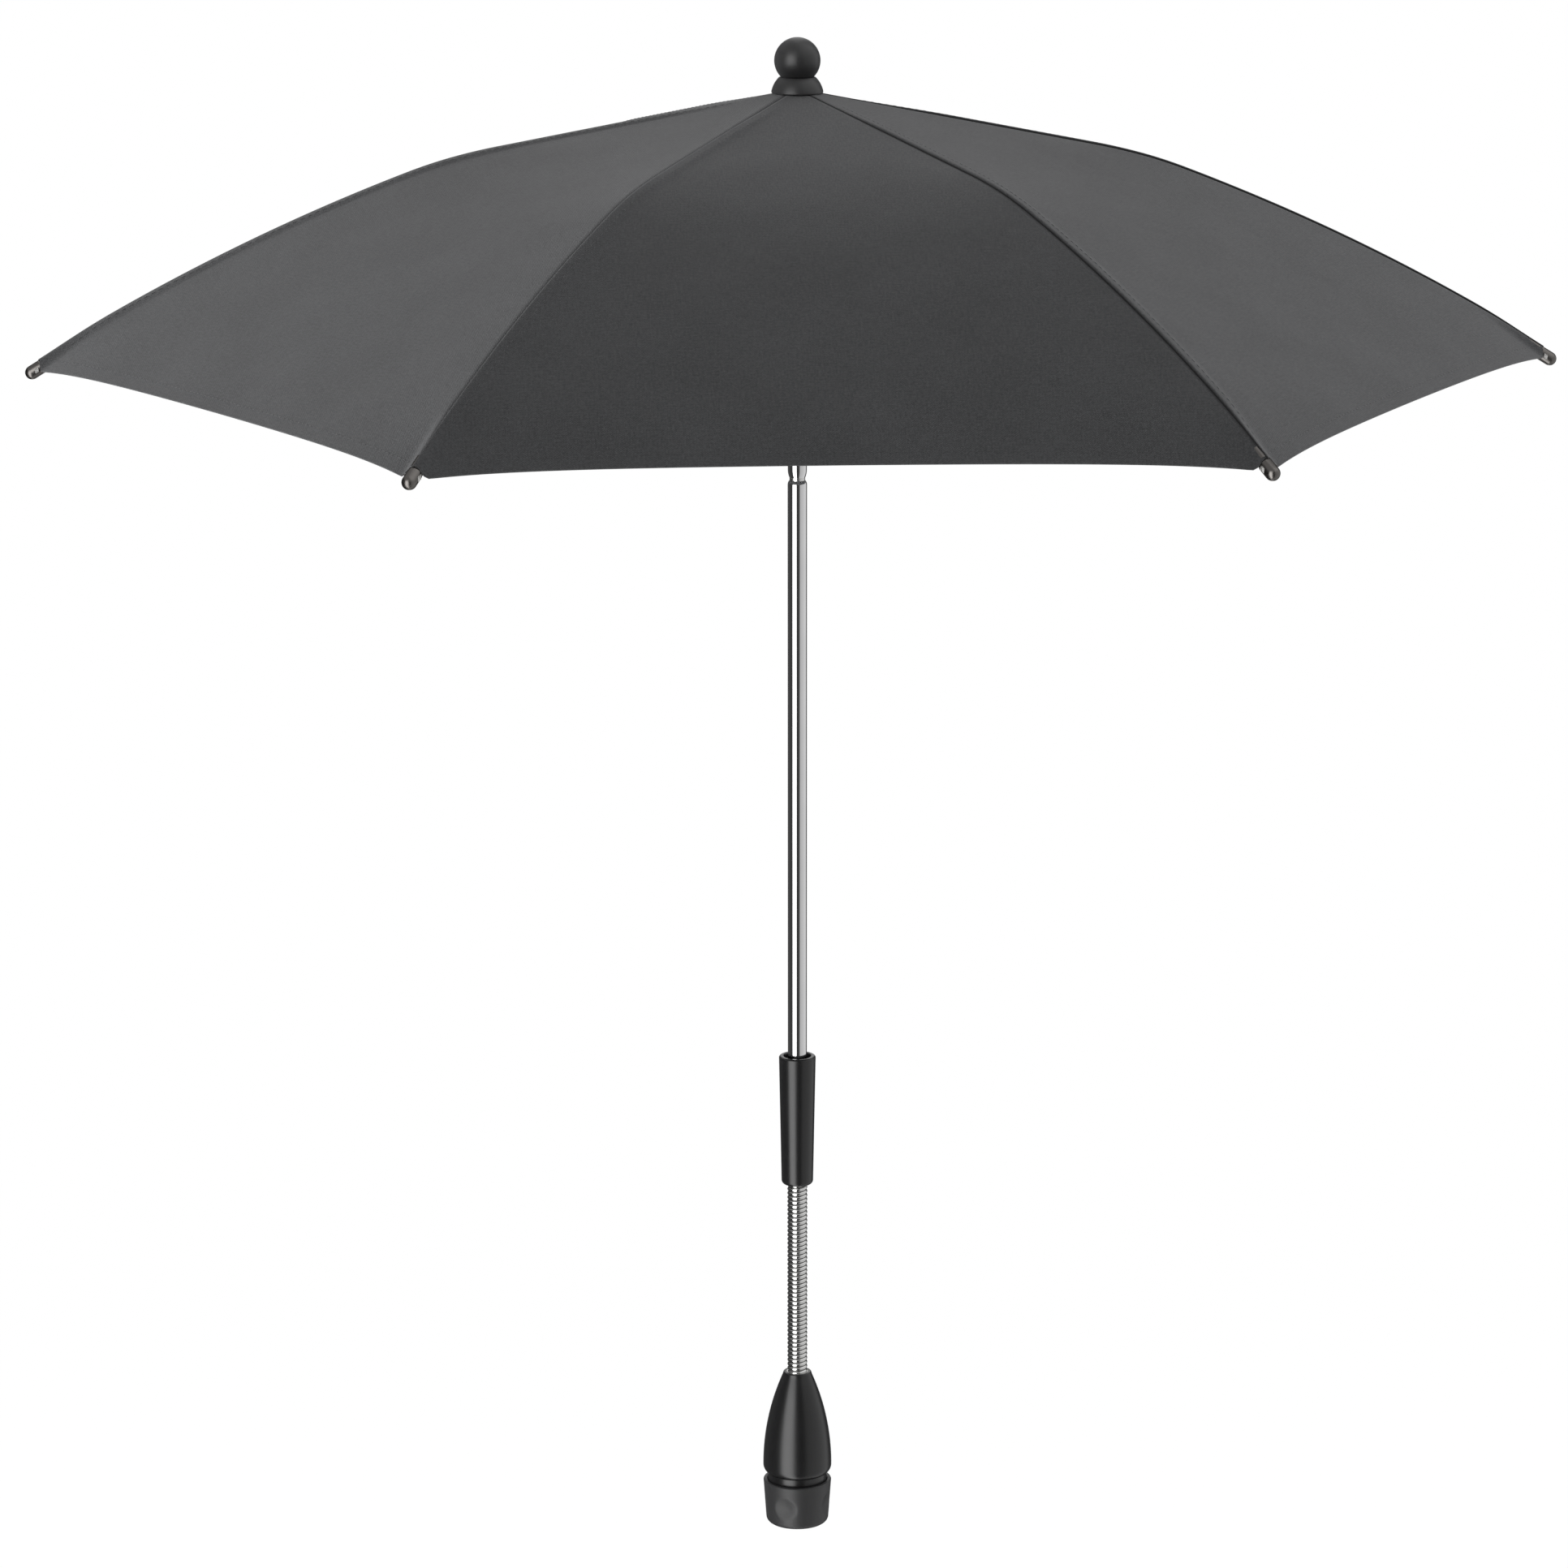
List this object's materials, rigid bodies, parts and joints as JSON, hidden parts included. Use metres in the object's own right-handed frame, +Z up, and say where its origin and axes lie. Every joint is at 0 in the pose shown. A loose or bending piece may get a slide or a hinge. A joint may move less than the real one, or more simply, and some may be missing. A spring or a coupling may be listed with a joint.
{
  "type": "pram parasol",
  "caption": "Folding pram parasol: grey cloth canopy on hinged ribs and stretchers, chromed pole with a bendable gooseneck, grip sleeve and a clamp foot with a screw knob.",
  "frame": {"origin": "centre of the socket's mouth, under the clamp knob", "axes": "+Z up the pole to the finial; -Y towards the picture's camera; +X to the right of the picture; -Z is the way the stalk leaves the socket"},
  "size_m": [0.6612, 0.5936, 0.6702],
  "materials": {
    "black_moulding": "satin",
    "knob_moulding": "matte",
    "collet_moulding": "matte",
    "spring_steel": "satin",
    "ferrule_steel": "satin",
    "core_sheath": "matte",
    "gooseneck_wire": "polished",
    "chromed_tube": "polished",
    "spigot_metal": "satin",
    "runner_moulding": "satin",
    "finial_moulding": "satin",
    "rib_steel": "satin",
    "clip_steel": "satin",
    "tip_metal": "gloss",
    "canopy_cloth": "matte"
  },
  "bodies": {
    "foot": {"foot_housing": "black_moulding", "lower_ferrule": "ferrule_steel", "gooseneck_core": "core_sheath", "gooseneck_link_1": "gooseneck_wire"},
    "collet": {"socket_collet": "collet_moulding"},
    "knob": {"clamp_knob": "knob_moulding", "knob_snap_ring": "spring_steel"},
    "neck_2": {"gooseneck_link_2": "gooseneck_wire"},
    "neck_3": {"gooseneck_link_3": "gooseneck_wire"},
    "neck_4": {"gooseneck_link_4": "gooseneck_wire"},
    "neck_5": {"gooseneck_link_5": "gooseneck_wire"},
    "neck_6": {"gooseneck_link_6": "gooseneck_wire"},
    "neck_7": {"gooseneck_link_7": "gooseneck_wire"},
    "neck_8": {"gooseneck_link_8": "gooseneck_wire"},
    "pole": {"gooseneck_link_9": "gooseneck_wire", "upper_ferrule": "ferrule_steel", "grip_sleeve": "black_moulding", "pole_tube": "chromed_tube", "neck_spigot": "spigot_metal", "canopy_shaft": "chromed_tube", "crown_hub": "runner_moulding", "crown_wire": "spring_steel", "crown_stud": "spigot_metal", "finial_collar": "finial_moulding", "finial_ball": "finial_moulding"},
    "runner": {"runner": "runner_moulding"},
    "catch": {"runner_catch": "spring_steel"},
    "rib_arm_1": {"rib_1": "rib_steel", "rib_clip_1": "clip_steel", "rib_tip_1": "tip_metal", "canopy_gore_1": "canopy_cloth"},
    "stretcher_arm_1": {"stretcher_1": "rib_steel"},
    "rib_arm_2": {"rib_2": "rib_steel", "rib_clip_2": "clip_steel", "rib_tip_2": "tip_metal", "canopy_gore_2": "canopy_cloth"},
    "stretcher_arm_2": {"stretcher_2": "rib_steel"},
    "rib_arm_3": {"rib_3": "rib_steel", "rib_clip_3": "clip_steel", "rib_tip_3": "tip_metal", "canopy_gore_3": "canopy_cloth"},
    "stretcher_arm_3": {"stretcher_3": "rib_steel"},
    "rib_arm_4": {"rib_4": "rib_steel", "rib_clip_4": "clip_steel", "rib_tip_4": "tip_metal", "canopy_gore_4": "canopy_cloth"},
    "stretcher_arm_4": {"stretcher_4": "rib_steel"},
    "rib_arm_5": {"rib_5": "rib_steel", "rib_clip_5": "clip_steel", "rib_tip_5": "tip_metal", "canopy_gore_5": "canopy_cloth"},
    "stretcher_arm_5": {"stretcher_5": "rib_steel"},
    "rib_arm_6": {"rib_6": "rib_steel", "rib_clip_6": "clip_steel", "rib_tip_6": "tip_metal", "canopy_gore_6": "canopy_cloth"},
    "stretcher_arm_6": {"stretcher_6": "rib_steel"}
  },
  "joints": [
    {"name": "collet_lift", "type": "slide", "parent": "foot", "child": "collet", "axis": [0, 0, 1], "range_m": [0, 0.002]},
    {"name": "knob_turn", "type": "hinge", "parent": "collet", "child": "knob", "pos_m": [0, 0, 0], "axis": [0, 0, 1], "range_deg": [0, 300]},
    {"name": "neck_bend_forward_1", "type": "hinge", "parent": "foot", "child": "neck_2", "pos_m": [0, 0, 0.08132], "axis": [1, 0, 0], "range_deg": [-18, 18], "deforming": ["gooseneck_core"]},
    {"name": "neck_bend_side_1", "type": "hinge", "parent": "neck_2", "child": "neck_3", "pos_m": [0, 0, 0.09115], "axis": [0, 1, 0], "range_deg": [-18, 18]},
    {"name": "neck_bend_forward_2", "type": "hinge", "parent": "neck_3", "child": "neck_4", "pos_m": [0, 0, 0.10097], "axis": [1, 0, 0], "range_deg": [-18, 18]},
    {"name": "neck_bend_side_2", "type": "hinge", "parent": "neck_4", "child": "neck_5", "pos_m": [0, 0, 0.1108], "axis": [0, 1, 0], "range_deg": [-18, 18]},
    {"name": "neck_bend_forward_3", "type": "hinge", "parent": "neck_5", "child": "neck_6", "pos_m": [0, 0, 0.12062], "axis": [1, 0, 0], "range_deg": [-18, 18]},
    {"name": "neck_bend_side_3", "type": "hinge", "parent": "neck_6", "child": "neck_7", "pos_m": [0, 0, 0.13045], "axis": [0, 1, 0], "range_deg": [-18, 18]},
    {"name": "neck_bend_forward_4", "type": "hinge", "parent": "neck_7", "child": "neck_8", "pos_m": [0, 0, 0.14028], "axis": [1, 0, 0], "range_deg": [-18, 18]},
    {"name": "neck_bend_side_4", "type": "hinge", "parent": "neck_8", "child": "pole", "pos_m": [0, 0, 0.1501], "axis": [0, 1, 0], "range_deg": [-18, 18]},
    {"name": "runner_slide", "type": "slide", "parent": "pole", "child": "runner", "axis": [0, 0, -1], "range_m": [0, 0.21196], "deforming": ["canopy_gore_1", "canopy_gore_2", "canopy_gore_3", "canopy_gore_4", "canopy_gore_5", "canopy_gore_6", "runner_catch"]},
    {"name": "catch_press", "type": "slide", "parent": "pole", "child": "catch", "axis": [0, 1, 0], "range_m": [0, 0.0017], "stiffness_N_per_m": 800},
    {"name": "rib_1_fold", "type": "hinge", "parent": "pole", "child": "rib_arm_1", "pos_m": [0.00948, 0.00058, 0.64163], "axis": [-0.061, 0.9981, 0], "range_deg": [0, 69.07]},
    {"name": "stretcher_1_fold", "type": "hinge", "parent": "rib_arm_1", "child": "stretcher_arm_1", "pos_m": [0.14203, 0.00869, 0.61355], "axis": [-0.061, 0.9981, 0], "range_deg": [-138.14, 0]},
    {"name": "rib_2_fold", "type": "hinge", "parent": "pole", "child": "rib_arm_2", "pos_m": [0.00424, 0.0085, 0.64163], "axis": [-0.8949, 0.4462, 0], "range_deg": [0, 69.07]},
    {"name": "stretcher_2_fold", "type": "hinge", "parent": "rib_arm_2", "child": "stretcher_arm_2", "pos_m": [0.06349, 0.12734, 0.61355], "axis": [-0.8949, 0.4462, 0], "range_deg": [-138.14, 0]},
    {"name": "rib_3_fold", "type": "hinge", "parent": "pole", "child": "rib_arm_3", "pos_m": [-0.00524, 0.00792, 0.64163], "axis": [-0.8339, -0.5519, 0], "range_deg": [0, 69.07]},
    {"name": "stretcher_3_fold", "type": "hinge", "parent": "rib_arm_3", "child": "stretcher_arm_3", "pos_m": [-0.07854, 0.11866, 0.61355], "axis": [-0.8339, -0.5519, 0], "range_deg": [-138.14, 0]},
    {"name": "rib_4_fold", "type": "hinge", "parent": "pole", "child": "rib_arm_4", "pos_m": [-0.00948, -0.00058, 0.64163], "axis": [0.061, -0.9981, 0], "range_deg": [0, 69.07]},
    {"name": "stretcher_4_fold", "type": "hinge", "parent": "rib_arm_4", "child": "stretcher_arm_4", "pos_m": [-0.14203, -0.00869, 0.61355], "axis": [0.061, -0.9981, 0], "range_deg": [-138.14, 0]},
    {"name": "rib_5_fold", "type": "hinge", "parent": "pole", "child": "rib_arm_5", "pos_m": [-0.00424, -0.0085, 0.64163], "axis": [0.8949, -0.4462, 0], "range_deg": [0, 69.07]},
    {"name": "stretcher_5_fold", "type": "hinge", "parent": "rib_arm_5", "child": "stretcher_arm_5", "pos_m": [-0.06349, -0.12734, 0.61355], "axis": [0.8949, -0.4462, 0], "range_deg": [-138.14, 0]},
    {"name": "rib_6_fold", "type": "hinge", "parent": "pole", "child": "rib_arm_6", "pos_m": [0.00524, -0.00792, 0.64163], "axis": [0.8339, 0.5519, 0], "range_deg": [0, 69.07]},
    {"name": "stretcher_6_fold", "type": "hinge", "parent": "rib_arm_6", "child": "stretcher_arm_6", "pos_m": [0.07854, -0.11866, 0.61355], "axis": [0.8339, 0.5519, 0], "range_deg": [-138.14, 0]}
  ],
  "couplings": [
    {"joint": "knob_turn", "follows": "collet_lift", "rad_per_m": 2617.9},
    {"joint": "rib_1_fold", "follows": "runner_slide", "rad_per_m": 5.6867},
    {"joint": "stretcher_1_fold", "follows": "runner_slide", "rad_per_m": -11.373},
    {"joint": "rib_2_fold", "follows": "runner_slide", "rad_per_m": 5.6867},
    {"joint": "stretcher_2_fold", "follows": "runner_slide", "rad_per_m": -11.373},
    {"joint": "rib_3_fold", "follows": "runner_slide", "rad_per_m": 5.6867},
    {"joint": "stretcher_3_fold", "follows": "runner_slide", "rad_per_m": -11.373},
    {"joint": "rib_4_fold", "follows": "runner_slide", "rad_per_m": 5.6867},
    {"joint": "stretcher_4_fold", "follows": "runner_slide", "rad_per_m": -11.373},
    {"joint": "rib_5_fold", "follows": "runner_slide", "rad_per_m": 5.6867},
    {"joint": "stretcher_5_fold", "follows": "runner_slide", "rad_per_m": -11.373},
    {"joint": "rib_6_fold", "follows": "runner_slide", "rad_per_m": 5.6867},
    {"joint": "stretcher_6_fold", "follows": "runner_slide", "rad_per_m": -11.373}
  ]
}
